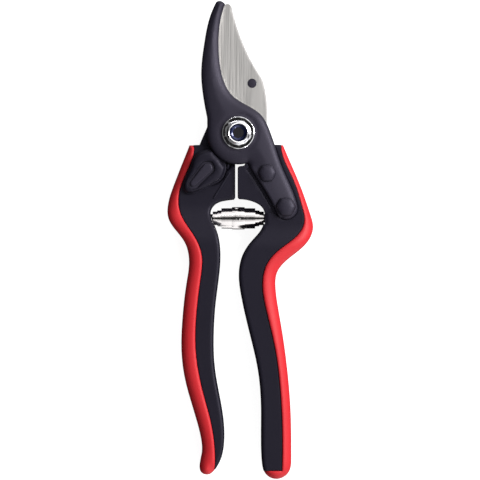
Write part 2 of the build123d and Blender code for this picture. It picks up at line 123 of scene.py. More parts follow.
def outlines(node, height):
    """The closed outlines of a CAD part at one height, the longest first."""
    neighbours = {}
    for a, b in cut_segments(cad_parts[node].data, height):
        neighbours.setdefault(a, []).append(b)
        neighbours.setdefault(b, []).append(a)
    loops = []
    while neighbours:
        start = next(iter(neighbours))
        loop, here, before = [start], start, None
        while True:
            onward = [p for p in neighbours[here] if p != before] or neighbours[here]
            before, here = here, onward[0]
            if here == start or here in loop[-1:]:
                break
            loop.append(here)
            if len(loop) > len(neighbours) + 1:
                break
        for point in loop:
            neighbours.pop(point, None)
        if len(loop) > 2:
            loops.append(resample(np.array(loop)))
    return sorted(loops, key=length_of, reverse=True)


def length_of(loop):
    """The length of a closed loop."""
    return float(np.linalg.norm(np.roll(loop, -1, 0) - loop, axis=1).sum())


def area_of(loop):
    """The area in a closed loop, negative if it runs clockwise."""
    after = np.roll(loop, -1, 0)
    return float((loop[:, 0] * after[:, 1] - after[:, 0] * loop[:, 1]).sum() / 2)


def corners_of(loop):
    """Which points of a loop are corners."""
    before, after = loop - np.roll(loop, 1, 0), np.roll(loop, -1, 0) - loop
    cross = before[:, 0] * after[:, 1] - before[:, 1] * after[:, 0]
    turn = np.degrees(np.abs(np.arctan2(cross, (before * after).sum(1))))
    return np.nonzero(turn > CORNER)[0]


def resample(loop):
    """The same loop, counter-clockwise, with evenly spaced points between its corners."""
    if area_of(loop) < 0:
        loop = loop[::-1]
    corners = list(corners_of(loop))
    if not corners:
        corners = [0]
    pieces = []
    for index, start in enumerate(corners):
        end = corners[(index + 1) % len(corners)]
        count = (end - start) % len(loop) or len(loop)
        run = loop[[(start + k) % len(loop) for k in range(count + 1)]]
        along = np.concatenate([[0], np.cumsum(np.linalg.norm(np.diff(run, axis=0), axis=1))])
        parts = max(1, round(along[-1] / EDGE))
        marks = np.linspace(0, along[-1], parts + 1)[:-1]
        piece = np.stack([np.interp(marks, along, run[:, k]) for k in (0, 1)], 1)
        for _ in range(SMOOTHINGS):
            if len(piece) > 2:
                piece[1:-1] = piece[1:-1] / 2 + (piece[:-2] + piece[2:]) / 4
        pieces.append(piece)
    return np.concatenate(pieces)


def inward(loop):
    """The inward unit normal at each point of a counter-clockwise loop."""
    along = np.roll(loop, -1, 0) - np.roll(loop, 1, 0)
    along /= np.linalg.norm(along, axis=1)[:, None] + TINY
    return np.stack([-along[:, 1], along[:, 0]], 1)


def distance(points, starts, ends):
    """How far each point is from the nearest of many line pieces."""
    best = np.full(len(points), FAR)
    if len(starts) == 0:
        return best
    runs = ends - starts
    lengths = (runs ** 2).sum(1) + TINY
    for first in range(0, len(points), BATCH):
        some = points[first:first + BATCH, None, :] - starts[None]
        share = np.clip((some * runs[None]).sum(2) / lengths, 0, 1)
        gap = some - share[..., None] * runs[None]
        best[first:first + BATCH] = np.sqrt((gap ** 2).sum(2)).min(1)
    return best


def loop_distance(points, loops):
    """How far each point is from the nearest of some closed loops."""
    starts = np.concatenate(loops)
    ends = np.concatenate([np.roll(l, -1, 0) for l in loops])
    return distance(points, starts, ends)


def inside(points, loops):
    """Which points lie inside, by the even-odd rule, so that a loop in a loop is a hole."""
    odd = np.zeros(len(points), bool)
    for loop in loops:
        after = np.roll(loop, -1, 0)
        for (x0, y0), (x1, y1) in zip(loop, after):
            spans = (points[:, 1] < y0) != (points[:, 1] < y1)
            if y0 != y1:
                odd ^= spans & (points[:, 0] < (x1 - x0) * (points[:, 1] - y0) / (y1 - y0) + x0)
    return odd


def edge_runs(loop, mask):
    """The line pieces of a loop whose ends are both marked."""
    after = np.roll(loop, -1, 0)
    both = mask & np.roll(mask, -1)
    return loop[both], after[both]


def whole(loop):
    """All the line pieces of a loop."""
    return edge_runs(loop, np.ones(len(loop), bool))


def chosen(runs, wanted):
    """Divides line pieces into the wanted ones and the others."""
    return (runs[0][wanted], runs[1][wanted]), (runs[0][~wanted], runs[1][~wanted])


def joined(runs):
    """Many sets of line pieces as one."""
    return np.concatenate([r[0] for r in runs]), np.concatenate([r[1] for r in runs])


# ---- surfaces made of levels ---------------------------------------------------------------------

def quarter(gap, radius, depth=None):
    """How far a rounded edge has dropped, at a distance from the edge."""
    depth = radius if depth is None else depth
    left = np.clip(1 - gap / np.maximum(radius, TOLERANCE), 0, 1)
    return depth * (1 - np.sqrt(np.clip(1 - left ** 2, 0, 1)))


def smooth_step(values, start, end):
    """0 up to start and 1 from end on, with a smooth rise between them."""
    t = np.clip((values - start) / (end - start), 0, 1)
    return t * t * (3 - 2 * t)


def ramp(low, high, start, end):
    """A height that rises smoothly from low to high as Y goes from start to end."""
    return lambda points: low + (high - low) * smooth_step(points[:, 1], start, end)


PLAIN = (0.01, 0.0)     # the radius and depth of a level whose outline isn't rounded by itself


class Level:
    """A flat or shaped level of a part's face: where it lies, how high, and how its edge is rounded.

    Its height is a number or a function of the points. Soft edges are rounded on their own, each given as
    the starts and ends of its line pieces, the rounding's width, or a function for it, and its depth.
    """

    def __init__(self, loops, height, radius=0.4, depth=None, soft=None):
        self.loops = loops
        self.height = height
        self.radius = radius
        self.depth = depth
        self.soft = soft or []

    def at(self, points):
        """The level's height at each point."""
        drop = quarter(loop_distance(points, self.loops), self.radius, self.depth)
        for starts, ends, radius, depth in self.soft:
            width = radius(points) if callable(radius) else radius
            drop = drop + quarter(distance(points, starts, ends), width, depth)
        high = self.height(points) if callable(self.height) else np.full(len(points), float(self.height))
        return high - drop


class Plan:
    """A face's points seen from above, and the pairs of them that its triangles' edges must follow."""

    def __init__(self, outer):
        self.outer = outer
        self.rows, self.edges, self.count = [], [], 0
        for loop in outer:
            self.add(loop, np.ones(len(loop), bool), True)
        self.fixed = self.count

    def add(self, row, keep, followed):
        """Adds the points of a closed row that are to be kept, with the edges between them if followed."""
        if not keep.any():
            return
        numbers = np.full(len(row), -1)
        numbers[keep] = self.count + np.arange(keep.sum())
        self.rows.append(row[keep])
        self.count += int(keep.sum())
        if followed:
            self.edges += [(a, b) for a, b in zip(numbers, np.roll(numbers, -1)) if a >= 0 and b >= 0]

    def add_rounding(self, widths):
        """Rows along the inner side of the outline, where its edge is rounded."""
        for loop, turn in zip(self.outer, [1] + [-1] * len(self.outer)):
            for width in widths:
                row = loop + inward(loop) * width * turn
                clear = loop_distance(row, self.outer) > ROW_ROOM * width
                self.add(row, clear & inside(row, self.outer), False)

    def add_level(self, level, widths):
        """A level's outline, and the rows just inside it for its upright step and its rounded edge."""
        fine = [w for w in widths if 2 * STEP_WIDTH < w < level.radius * FINE_REACH]
        for loop in level.loops:
            clear = loop_distance(loop, self.outer) > STEP_WIDTH * STEP_ROOM
            self.add(loop, clear & inside(loop, self.outer), True)
            for width in [STEP_WIDTH] + fine:
                for side in (1, -1):
                    row = loop + inward(loop) * width * side
                    clear = loop_distance(row, level.loops) > ROW_ROOM * width
                    clear &= inside(row, level.loops) & inside(row, self.outer)
                    clear &= loop_distance(row, self.outer) > STEP_WIDTH * STEP_ROOM
                    self.add(row, clear, width == STEP_WIDTH)

    def add_grid(self):
        """Evenly spaced points wherever there is room for them."""
        near = np.concatenate(self.rows)
        low, high = near.min(0), near.max(0)
        across = np.arange(low[0], high[0], GRID)
        grid = []
        for row, y in enumerate(np.arange(low[1], high[1], GRID * GRID_ROWS)):
            grid += [(x + GRID / 2 * (row % 2), y) for x in across]
        grid = np.array(grid)
        grid = grid[inside(grid, self.outer)]
        tree = point_tree(near)
        free = np.array([tree.find((p[0], p[1], 0))[2] > GRID * GRID_ROOM for p in grid], bool)
        self.add(grid, free, False)

    def merged(self):
        """The points without near doubles, and the followed edges in their numbers."""
        points = np.concatenate(self.rows)
        tree = point_tree(points)
        kept, number = [], np.zeros(len(points), int)
        for index, point in enumerate(points):
            near = [i for _, i, _ in tree.find_range((point[0], point[1], 0), DOUBLE) if i < index]
            if index < self.fixed or not near:
                number[index] = len(kept)
                kept.append(index)
            else:
                number[index] = number[min(near)]
        edges = {(min(number[a], number[b]), max(number[a], number[b])) for a, b in self.edges}
        return points[kept], sorted((int(a), int(b)) for a, b in edges if a != b)


def point_tree(points):
    """A search tree over flat points."""
    tree = KDTree(len(points))
    for index, point in enumerate(points):
        tree.insert((point[0], point[1], 0), index)
    tree.balance()
    return tree


def triangles_of(points, edges, outer):
    """Triangles over the points, inside the outlines."""
    result = delaunay_2d_cdt([Vector(p) for p in points], edges, [], 0, TOLERANCE)
    flat = np.array([(v.x, v.y) for v in result[0]])
    faces = np.array([f for f in result[2] if len(f) == 3])
    a, b, c = flat[faces[:, 0]], flat[faces[:, 1]], flat[faces[:, 2]]
    area = (b[:, 0] - a[:, 0]) * (c[:, 1] - a[:, 1]) - (b[:, 1] - a[:, 1]) * (c[:, 0] - a[:, 0])
    wanted = inside((a + b + c) / 3, outer) & (np.abs(area) > SLIVER)
    faces, area = faces[wanted], area[wanted]
    faces[area < 0] = faces[area < 0][:, ::-1]
    return flat, faces


def heights(points, levels, base, edge_normals):
    """The face's height at each point: the highest level that covers it. The outline's points come first."""
    count = len(edge_normals)
    probe = points.copy()
    probe[:count] += edge_normals * PROBE
    high = np.full(len(points), float(base))
    for level in levels:
        covered = inside(probe, level.loops)
        past_foot = loop_distance(probe, level.loops) > STEP_WIDTH * STEP_FOOT
        high = np.where(covered & past_foot, np.maximum(high, level.at(points)), high)
    return high


def face_normals(outer):
    """The normals into the face at the points of its outline, and of the holes in it."""
    return np.concatenate([inward(l) * (1 if i == 0 else -1) for i, l in enumerate(outer)])


def build_solid(name, outer, front, back, bases, widths, wall_rows=3):
    """A closed body between a front and a back face, each made of levels, with upright walls.

    The bases are the heights of the front and the back where no level covers them. The widths are the
    distances from an outline at which its rounding gets a row of points.
    """
    plan = Plan(outer)
    plan.add_rounding(widths)
    for level in front + back:
        plan.add_level(level, widths)
    plan.add_grid()
    flat, faces = triangles_of(*plan.merged(), outer)
    normals = face_normals(outer)
    top = heights(flat, front, bases[0], normals)
    mirrored = [Level(l.loops, negate(l.height), l.radius, l.depth, l.soft) for l in back]
    bottom = -heights(flat, mirrored, -bases[1], normals)
    bottom = np.minimum(bottom, top - THINNEST)
    verts = [(x, y, z) for z_values in (top, bottom) for (x, y), z in zip(flat, z_values)]
    total = len(flat)
    polygons = [tuple(f) for f in faces] + [tuple(int(i) + total for i in f[::-1]) for f in faces]
    add_walls(verts, polygons, faces, total, wall_rows)
    return mesh_object(name, verts, polygons)


def add_walls(verts, polygons, faces, total, wall_rows):
    """Joins the front's open edges to the back's. A back point comes as many places after its front point
    as there are points in the face."""
    uses = {}
    for f in faces:
        for a, b in ((f[0], f[1]), (f[1], f[2]), (f[2], f[0])):
            uses[(a, b)] = uses.get((a, b), 0) + 1
    rim = [(a, b) for a, b in uses if (b, a) not in uses]
    columns = {}
    for a, _ in rim:
        columns[a] = [a] + [len(verts) + k for k in range(wall_rows - 1)] + [a + total]
        x, y, top = verts[a]
        bottom = verts[a + total][2]
        verts += [(x, y, top + (bottom - top) * k / wall_rows) for k in range(1, wall_rows)]
    for a, b in rim:
        for k in range(wall_rows):
            polygons.append((columns[a][k], columns[a][k + 1], columns[b][k + 1], columns[b][k]))


def negate(height):
    """The same height, a number or a function, below zero."""
    if callable(height):
        return lambda points: -height(points)
    return -height


def mesh_object(name, verts, polygons):
    """A mesh object from points in millimetres, shaded smooth except across sharp edges."""
    mesh = bpy.data.meshes.new(name)
    metres = [(x * MM, y * MM, z * MM) for x, y, z in verts]
    mesh.from_pydata(metres, [], [tuple(map(int, p)) for p in polygons])
    mesh.validate()
    mesh.update()
    piece = bpy.data.objects.new(name, mesh)
    bpy.context.scene.collection.objects.link(piece)
    clean(mesh)
    mesh.shade_smooth()
    mesh.set_sharp_from_angle(angle=math.radians(CREASE))
    return piece


def clean(mesh):
    """Joins points that coincide, removes points that no face uses and turns every face outwards."""
    work = bmesh.new()
    work.from_mesh(mesh)
    bmesh.ops.remove_doubles(work, verts=work.verts, dist=JOIN * MM)
    bmesh.ops.delete(work, geom=[v for v in work.verts if not v.link_faces], context="VERTS")
    bmesh.ops.recalc_face_normals(work, faces=work.faces)
    work.to_mesh(mesh)
    work.free()


def lathe(name, profile, centre, sides, shape=None):
    """A solid turned about Z from a closed row of (radius, height) points.

    A shape is a function of ring and angle that the ring's radius is multiplied by.
    """
    verts, polygons = [], []
    angles = [2 * math.pi * k / sides for k in range(sides)]
    for row, (radius, height) in enumerate(profile):
        for angle in angles:
            out = radius * (shape(row, angle) if shape else 1)
            verts.append((centre[0] + out * math.cos(angle), centre[1] + out * math.sin(angle), height))
    for row in range(len(profile)):
        below = row * sides
        above = (row + 1) % len(profile) * sides
        for k in range(sides):
            after = (k + 1) % sides
            polygons.append((below + k, below + after, above + after, above + k))
    return mesh_object(name, verts, polygons)


# ---- materials -----------------------------------------------------------------------------------

def material(name, color, metallic, roughness):
    """A new material, its node tree and its shader."""
    made = bpy.data.materials.new(name)
    made.use_nodes = True
    shader = made.node_tree.nodes["Principled BSDF"]
    shader.inputs["Base Color"].default_value = (*color, 1)
    shader.inputs["Metallic"].default_value = metallic
    shader.inputs["Roughness"].default_value = roughness
    return made, made.node_tree, shader


def add(tree, kind, **values):
    """A new node with some of its settings."""
    node = tree.nodes.new(kind)
    for key, value in values.items():
        setattr(node, key, value)
    return node


def noise(tree, scale, detail, stretch=(1, 1, 1), turn=0.0):
    """A noise pattern in the part's own space, in cycles per metre."""
    place = add(tree, "ShaderNodeTexCoord")
    mapping = add(tree, "ShaderNodeMapping")
    mapping.inputs["Scale"].default_value = stretch
    mapping.inputs["Rotation"].default_value = (0, 0, turn)
    pattern = add(tree, "ShaderNodeTexNoise")
    pattern.inputs["Scale"].default_value = scale
    pattern.inputs["Detail"].default_value = detail
    tree.links.new(place.outputs["Object"], mapping.inputs["Vector"])
    tree.links.new(mapping.outputs["Vector"], pattern.inputs["Vector"])
    return pattern.outputs["Fac"]


def remap(tree, source, from_range, to_range):
    """A value mapped from one range onto another."""
    mapped = add(tree, "ShaderNodeMapRange")
    mapped.inputs["From Min"].default_value, mapped.inputs["From Max"].default_value = from_range
    mapped.inputs["To Min"].default_value, mapped.inputs["To Max"].default_value = to_range
    tree.links.new(source, mapped.inputs["Value"])
    return mapped.outputs["Result"]


def spread(tree, source, low, high):
    """The middle of a noise pattern's range mapped onto another range."""
    return remap(tree, source, (0.3, 0.7), (low, high))


def tint(tree, source, dark, light):
    """A colour between two, by a pattern. The node's colour sockets are found by number: 6, 7 and 2."""
    mix = add(tree, "ShaderNodeMix", data_type="RGBA")
    mix.inputs[6].default_value = (*dark, 1)
    mix.inputs[7].default_value = (*light, 1)
    tree.links.new(source, mix.inputs[0])
    return mix.outputs[2]


def bump(tree, source, strength, depth):
    """A pattern as relief, so many metres deep."""
    node = add(tree, "ShaderNodeBump")
    node.inputs["Strength"].default_value = strength
    node.inputs["Distance"].default_value = depth
    tree.links.new(source, node.inputs["Height"])
    return node.outputs["Normal"]


def composite(name, dark, light, rough, gloss):
    """Moulded glass-filled plastic: a fine spark-eroded grain and faint cloudy patches."""
    made, tree, shader = material(name, light, 0.0, rough)
    clouds = noise(tree, scale=55, detail=3)
    grain = noise(tree, scale=2600, detail=3)
    tree.links.new(tint(tree, clouds, dark, light), shader.inputs["Base Color"])
    tree.links.new(spread(tree, grain, rough - 0.06, rough + 0.08), shader.inputs["Roughness"])
    tree.links.new(bump(tree, grain, strength=0.25, depth=0.00006), shader.inputs["Normal"])
    shader.inputs["Specular IOR Level"].default_value = gloss
    shader.inputs["Specular Tint"].default_value = (0.86, 0.80, 1, 1)
    return made


def elastomer(name, dark, light, rough):
    """Soft overmoulded rubber: a dull skin with a very fine grain."""
    made, tree, shader = material(name, light, 0.0, rough)
    clouds = noise(tree, scale=40, detail=2)
    grain = noise(tree, scale=3200, detail=2)
    tree.links.new(tint(tree, clouds, dark, light), shader.inputs["Base Color"])
    tree.links.new(spread(tree, grain, rough - 0.05, rough + 0.07), shader.inputs["Roughness"])
    tree.links.new(bump(tree, grain, strength=0.2, depth=0.00005), shader.inputs["Normal"])
    shader.inputs["Specular IOR Level"].default_value = 0.22
    return made


def ground_steel(name, dark, light, rough, turn, fine=1.0):
    """Steel ground in one direction: long fine lines that change its colour, gloss and relief."""
    made, tree, shader = material(name, light, 1.0, rough)
    lines = noise(tree, scale=1500 * fine, detail=4, stretch=(1, 0.012, 1), turn=turn)
    tree.links.new(tint(tree, spread(tree, lines, 0, 1), dark, light), shader.inputs["Base Color"])
    tree.links.new(spread(tree, lines, rough + 0.08, rough - 0.08), shader.inputs["Roughness"])
    tree.links.new(bump(tree, lines, strength=0.35, depth=0.00002), shader.inputs["Normal"])
    return made


def polished(name, color, rough, wave=0.0):
    """Plated steel: a mirror with faint wipe marks, and a slight waviness where it was formed."""
    made, tree, shader = material(name, color, 1.0, rough)
    marks = noise(tree, scale=420, detail=3)
    tree.links.new(spread(tree, marks, max(rough - 0.02, 0.02), rough + 0.05), shader.inputs["Roughness"])
    if wave:
        waves = noise(tree, scale=330, detail=1)
        tree.links.new(bump(tree, waves, strength=wave, depth=0.001), shader.inputs["Normal"])
    return made


def enamel(name, color, rough):
    """A smooth dark coat with faint clouds, as in the nut's bowl."""
    made, tree, shader = material(name, color, 0.6, rough)
    clouds = noise(tree, scale=700, detail=2)
    tree.links.new(tint(tree, clouds, tuple(c * 0.6 for c in color), color), shader.inputs["Base Color"])
    tree.links.new(spread(tree, clouds, rough - 0.05, rough + 0.08), shader.inputs["Roughness"])
    shader.inputs["Coat Weight"].default_value = 0.6
    return made


BLACK = composite("black_composite", (0.0048, 0.0043, 0.0086), (0.0062, 0.0056, 0.0106), 0.48, 0.22)
COVER = composite("cover_composite", (0.0074, 0.0064, 0.0122), (0.0096, 0.0084, 0.0155), 0.52, 0.40)
RED = elastomer("red_elastomer", (0.47, 0.016, 0.022), (0.52, 0.021, 0.028), 0.50)
BLADE = ground_steel("ground_blade", (0.68, 0.66, 0.64), (0.76, 0.74, 0.72), 0.38, math.radians(14), 1.6)
PLATE = ground_steel("ground_plate", (0.33, 0.32, 0.31), (0.46, 0.45, 0.44), 0.34, math.radians(80))
CHROME = polished("chrome", (0.82, 0.82, 0.85), 0.09, 0.36)
SATIN = polished("satin_rim", (0.98, 0.98, 1.0), 0.24)
BLUED = enamel("blued_bowl", (0.006, 0.013, 0.075), 0.22)
SPRING = polished("bright_spring", (1.0, 0.96, 0.95), 0.12)
# Dark steel for the screws and pegs; on the blade's tang the same material is painted shade.
DARK_STEEL_AND_TANG_SHADE = ground_steel("dark_steel", (0.025, 0.024, 0.028), (0.05, 0.049, 0.055), 0.42, 0.3, 2.0)
BRONZE = polished("oiled_bronze", (0.55, 0.36, 0.15), 0.30)


def finish_piece(piece, made, body, slot, *nodes):
    """Gives a piece its material and body, and hides the CAD parts that it stands in for. The slot is not
    used.
    """
    piece.data.materials.clear()
    piece.data.materials.append(made)
    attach(piece, body)
    if nodes:
        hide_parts(*nodes)


def paint_cad(node, made):
    """Gives a CAD part that stays visible its finish."""
    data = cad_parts[node].data
    data.materials.clear()
    data.materials.append(made)


# ---- handles and grips ---------------------------------------------------------------------------

# Here and below, a CUT is the height at which a CAD part's outline is read. The outline is the same
# over some range of heights, and the cut is within that range. BASES are the heights of a piece's front
# and back where no level covers them. An EDGE is the width and depth of a rounding.
ROUND_RINGS = (0.12, 0.3, 0.6, 1.0, 1.5, 2.2, 3.0, 4.0, 5.0)
RIGHT_RAMP = (-41.0, -52.0)     # between these places in Y a handle and its grip rise to their full height
LEFT_RAMP = (-31.6, -50.0)
SEAM_EDGE = (0.5, 0.5)          # along the seam between handle and grip
STOP_EDGE = (0.4, 0.4)          # along the stops' upright faces, which are nearly sharp
STOP_REACH = 0.4                # how far from its X a stop's face may be found

GRIP_CUT = 8.0
GRIP_BASES = (6.0, 9.0)
RIGHT_GRIP_HEAD, LEFT_GRIP_HEAD = 15.6, 13.0
GRIP_FREE_EDGE, GRIP_LIP = (5.2, 4.6), (1.3, 0.8)
GRIP_BACK_EDGE, GRIP_BACK_LIP = (4.0, 3.6), (0.8, 0.4)

RIGHT_CUT, RIGHT_BASES = 6.0, (10.4, 9.0)
RIGHT_GROOVE_CUT, RIGHT_GROOVE = 13.0, 14.1     # the sunk strip beside the tongue
RIGHT_STOP_CUT, RIGHT_STOP_TOP = 14.3, 14.6
RIGHT_FACE_CUT, RIGHT_HEAD = 14.8, 15.0
RIGHT_EDGE = (1.6, 1.6)
RIGHT_STOP = (-0.3, -29.0)      # the stop's face lies at this X, and above this Y

LEFT_CUT, LEFT_BASES = 5.0, (7.3, 3.1)
LEFT_BACK_CUT = 2.0
LEFT_NECK_CUT, LEFT_NECK = 9.0, 10.3            # the neck that goes under the hook
LEFT_SEAT_CUT, LEFT_SEAT = 10.8, 11.0           # the floor that the catch turns on
LEFT_FACE_CUT, LEFT_HEAD = 12.0, 12.4
LEFT_RIB_CUT, LEFT_RIB_DROP = 12.7, 4.1         # the thin rib's front lies so far under the handle's
LONGEST_RIB = 45                                # a longer outline at that height is the handle's own
LEFT_EDGE = (1.4, 1.4)
LEFT_STOP = (-1.4, -28.5)


def split_edges(outer, seam_with, height):
    """A part's edges, as those that meet its soft grip or inlay and those that are free."""
    other = outlines(seam_with, height)
    seam, free = [], []
    for loop in outer:
        on_seam = loop_distance(loop, other) < SHARED
        seam.append(edge_runs(loop, on_seam))
        free.append(edge_runs(loop, ~on_seam))
    return joined(seam), joined(free)


def split_stop(free, stop):
    """Free edges, as those of the stop's upright face and the others."""
    starts = free[0]
    return chosen(free, (np.abs(starts[:, 0] - stop[0]) < STOP_REACH) & (starts[:, 1] > stop[1]))


def make_grip(name, node, handle, head, slope):
    """A soft grip: full and rounded on its outer side, and a small lip along the inlay."""
    outer = outlines(node, GRIP_CUT)[:1]
    low, high = box_mm(node)
    seam, free = split_edges(outer, handle, GRIP_CUT)
    face = ramp(head, high[2], *slope)
    front = [Level(outer, face, *PLAIN, [(*free, *GRIP_FREE_EDGE), (*seam, *GRIP_LIP)])]
    back = [Level(outer, low[2], *PLAIN, [(*free, *GRIP_BACK_EDGE), (*seam, *GRIP_BACK_LIP)])]
    return build_solid(name, outer, front, back, GRIP_BASES, ROUND_RINGS)


def right_handle():
    """The handle that carries the hook, with its stop and the sunk strip beside the tongue."""
    node = "right_handle"
    outer = outlines(node, RIGHT_CUT)[:1]
    low, high = box_mm(node)
    seam, free = split_edges(outer, "right_grip", RIGHT_CUT)
    stop, free = split_stop(free, RIGHT_STOP)
    edges = [(*free, *RIGHT_EDGE), (*seam, *SEAM_EDGE)]
    face = ramp(RIGHT_HEAD, high[2], *RIGHT_RAMP)
    front = [
        Level(outlines(node, RIGHT_GROOVE_CUT), RIGHT_GROOVE, 0.2),
        Level(outlines(node, RIGHT_STOP_CUT), RIGHT_STOP_TOP, 0.3),
        Level(outlines(node, RIGHT_FACE_CUT), face, 0.3, 0.3, edges + [(*stop, *STOP_EDGE)]),
    ]
    back = [Level(outer, low[2], *PLAIN, edges)]
    return build_solid("right_handle_shell", outer, front, back, RIGHT_BASES, ROUND_RINGS)


def left_handle():
    """The handle that holds the blade, with its neck, its stop and the round seat of the catch."""
    node = "left_handle"
    outer = outlines(node, LEFT_CUT)[:1]
    main = outlines(node, LEFT_BACK_CUT)[:1]
    low, high = box_mm(node)
    seam, free = split_edges(main, "left_grip", LEFT_BACK_CUT)
    stop, free = split_stop(free, LEFT_STOP)
    edges = [(*free, *LEFT_EDGE), (*seam, *SEAM_EDGE)]
    face = ramp(LEFT_HEAD, high[2], *LEFT_RAMP)
    ribs = [l for l in outlines(node, LEFT_RIB_CUT) if length_of(l) < LONGEST_RIB]
    front = [
        Level(outlines(node, LEFT_NECK_CUT)[:1], LEFT_NECK, 0.3),
        Level(outlines(node, LEFT_SEAT_CUT)[:1], LEFT_SEAT, 0.1),
        Level(outlines(node, LEFT_FACE_CUT)[:1], face, 0.3, 0.3, edges + [(*stop, *STOP_EDGE)]),
        Level(ribs, high[2] - LEFT_RIB_DROP, 0.35),
    ]
    back = [Level(main, low[2], *PLAIN, edges)]
    return build_solid("left_handle_shell", outer, front, back, LEFT_BASES, ROUND_RINGS)


def place_handles():
    """The two handles, and the soft grip along each."""
    finish_piece(right_handle(), BLACK, "hook_side", "handle_black", "right_handle")
    finish_piece(left_handle(), BLACK, "blade_side", "handle_black", "left_handle")
    right_grip = make_grip("right_grip_skin", "right_grip", "right_handle", RIGHT_GRIP_HEAD, RIGHT_RAMP)
    finish_piece(right_grip, RED, "hook_side", "grip_red", "right_grip")
    left_grip = make_grip("left_grip_skin", "left_grip", "left_handle", LEFT_GRIP_HEAD, LEFT_RAMP)
    finish_piece(left_grip, RED, "blade_side", "grip_red", "left_grip")


# ---- the hook's cover and what is on it ----------------------------------------------------------

COVER_CUT, COVER_BACK_CUT = 15.3, 12.0
COVER_BASES = (14.0, 13.6)
BOSS_EDGE, HOOK_EDGE, FULL_DEPTH = 2.7, 3.7, 1.5    # widths of the rounding at boss and hook, and its depth
HOOK_RISE = (8, 24)                                 # between these places in Y the one becomes the other
TONGUE_EDGE = (1.1, 0.7)                            # the tongue's left edge is sharper
TONGUE_TOP = -14                                    # below this place in Y
DISH_RADIUS, DISH_WIDTH, DISH_DEPTH = 8.3, 0.8, 0.28
PILLOW_WIDTH, PILLOW_DROP, PILLOW_POWER = 8.5, 0.9, 1.6

# A tongue cap's rings, as shares of its radius and heights above its foot, and how clear the facets are.
CAP_RINGS = [(1.0, -1.6), (1.0, 0.45), (0.975, 0.95), (0.91, 1.35), (0.80, 1.7), (0.64, 2.0), (0.44, 2.2)]
CAP_CROWN = [(0.22, -0.02), (0.01, 0)]              # the last rings, with heights from the cap's top
CAP_FACETS = [0.5, 0.6, 0.62, 0.55, 0.4, 0.25, 0.1, 0.02, 0.0]
CAP_CORNER = 0.07


def hook_cover():
    """The cover: a boss dished round the nut, a tongue with full edges and a slender rounded hook."""
    outer = outlines("hook_cover", COVER_CUT)
    low, high = box_mm("hook_cover")
    rim = whole(outer[0])
    left = (rim[0][:, 1] < TONGUE_TOP) & (inward(outer[0])[:, 0] > 0.5)
    sharp, full = chosen(rim, left)

    def edge_width(points):
        return BOSS_EDGE + (HOOK_EDGE - BOSS_EDGE) * smooth_step(points[:, 1], *HOOK_RISE)

    def face(points):
        from_axis = np.hypot(points[:, 0], points[:, 1])
        dish = DISH_DEPTH * np.exp(-((from_axis - DISH_RADIUS) / DISH_WIDTH) ** 2)
        near_edge = np.clip(1 - distance(points, *full) / PILLOW_WIDTH, 0, 1)
        return high[2] - dish - PILLOW_DROP * near_edge ** PILLOW_POWER

    front = [Level(outer, face, *PLAIN, [(*full, edge_width, FULL_DEPTH), (*sharp, *TONGUE_EDGE)])]
    back = [Level(outlines("hook_cover", COVER_BACK_CUT), low[2], 0.2)]
    return build_solid("hook_cover_skin", outer, front, back, COVER_BASES, ROUND_RINGS)


def tongue_cap(node):
    """A domed cap with six facets that fade out towards its crown."""
    low, high = box_mm(node)
    radius = (high - low)[0] / 2
    sixth = math.pi / 3

    def hexagon(row, angle):
        flat = 1 - math.cos(sixth / 2) / math.cos((angle % sixth) - sixth / 2)
        rounded = 0.5 * (flat + math.hypot(flat, CAP_CORNER) - CAP_CORNER)
        return 1 - CAP_FACETS[row] * rounded

    rings = [(radius * share, low[2] + height) for share, height in CAP_RINGS]
    rings += [(radius * share, high[2] + height) for share, height in CAP_CROWN]
    return lathe(f"{node}_dome", rings, (low + high)[:2] / 2, 72, hexagon)


# The nut's three pieces, as (radius, height): neck and flange, the raised rim, and the bowl inside it.
NUT_PROFILE = [(5.0, 13.6), (5.0, 17.0), (7.2, 17.0), (7.3, 17.08), (7.3, 17.3), (7.25, 17.4),
               (7.12, 17.46), (6.8, 17.49), (6.2, 17.50), (5.6, 17.53), (5.25, 17.6), (5.05, 17.75),
               (4.94, 18.0), (4.86, 18.3), (4.80, 18.7), (3.84, 18.7), (3.84, 18.5), (3.5, 17.6),
               (3.0, 17.4), (3.0, 13.6)]
RIM_PROFILE = [(4.80, 18.7), (4.77, 18.8), (4.70, 18.92), (4.58, 19.05), (4.45, 19.15), (4.32, 19.2),
               (4.2, 19.16), (4.08, 19.08), (3.95, 18.97), (3.87, 18.85), (3.84, 18.7)]
BOWL_PROFILE = [(3.84, 18.9), (3.76, 18.6), (3.6, 18.25), (3.35, 17.95), (3.0, 17.7), (2.6, 17.56),
                (2.45, 17.5), (2.5, 17.42), (3.0, 17.42), (3.5, 17.62), (3.82, 18.4)]
NUT_SIDES = 128
AXIS = (0, 0)


def place_cover():
    """The cover, its caps and the nut."""
    finish_piece(hook_cover(), COVER, "hook_side", "cover_black", "hook_cover")
    for node in ("tongue_cap_upper", "tongue_cap_lower"):
        finish_piece(tongue_cap(node), COVER, "hook_side", "cover_black", node)
    flange = lathe("pivot_nut_flange", NUT_PROFILE, AXIS, NUT_SIDES)
    finish_piece(flange, CHROME, "hook_side", "nut_chrome", "pivot_nut")
    rim = lathe("pivot_nut_rim", RIM_PROFILE, AXIS, NUT_SIDES)
    finish_piece(rim, SATIN, "hook_side", "nut_chrome")
    bowl = lathe("pivot_nut_bowl", BOWL_PROFILE, AXIS, NUT_SIDES)
    finish_piece(bowl, BLUED, "hook_side", "dark_steel")


# ---- the blade -----------------------------------------------------------------------------------

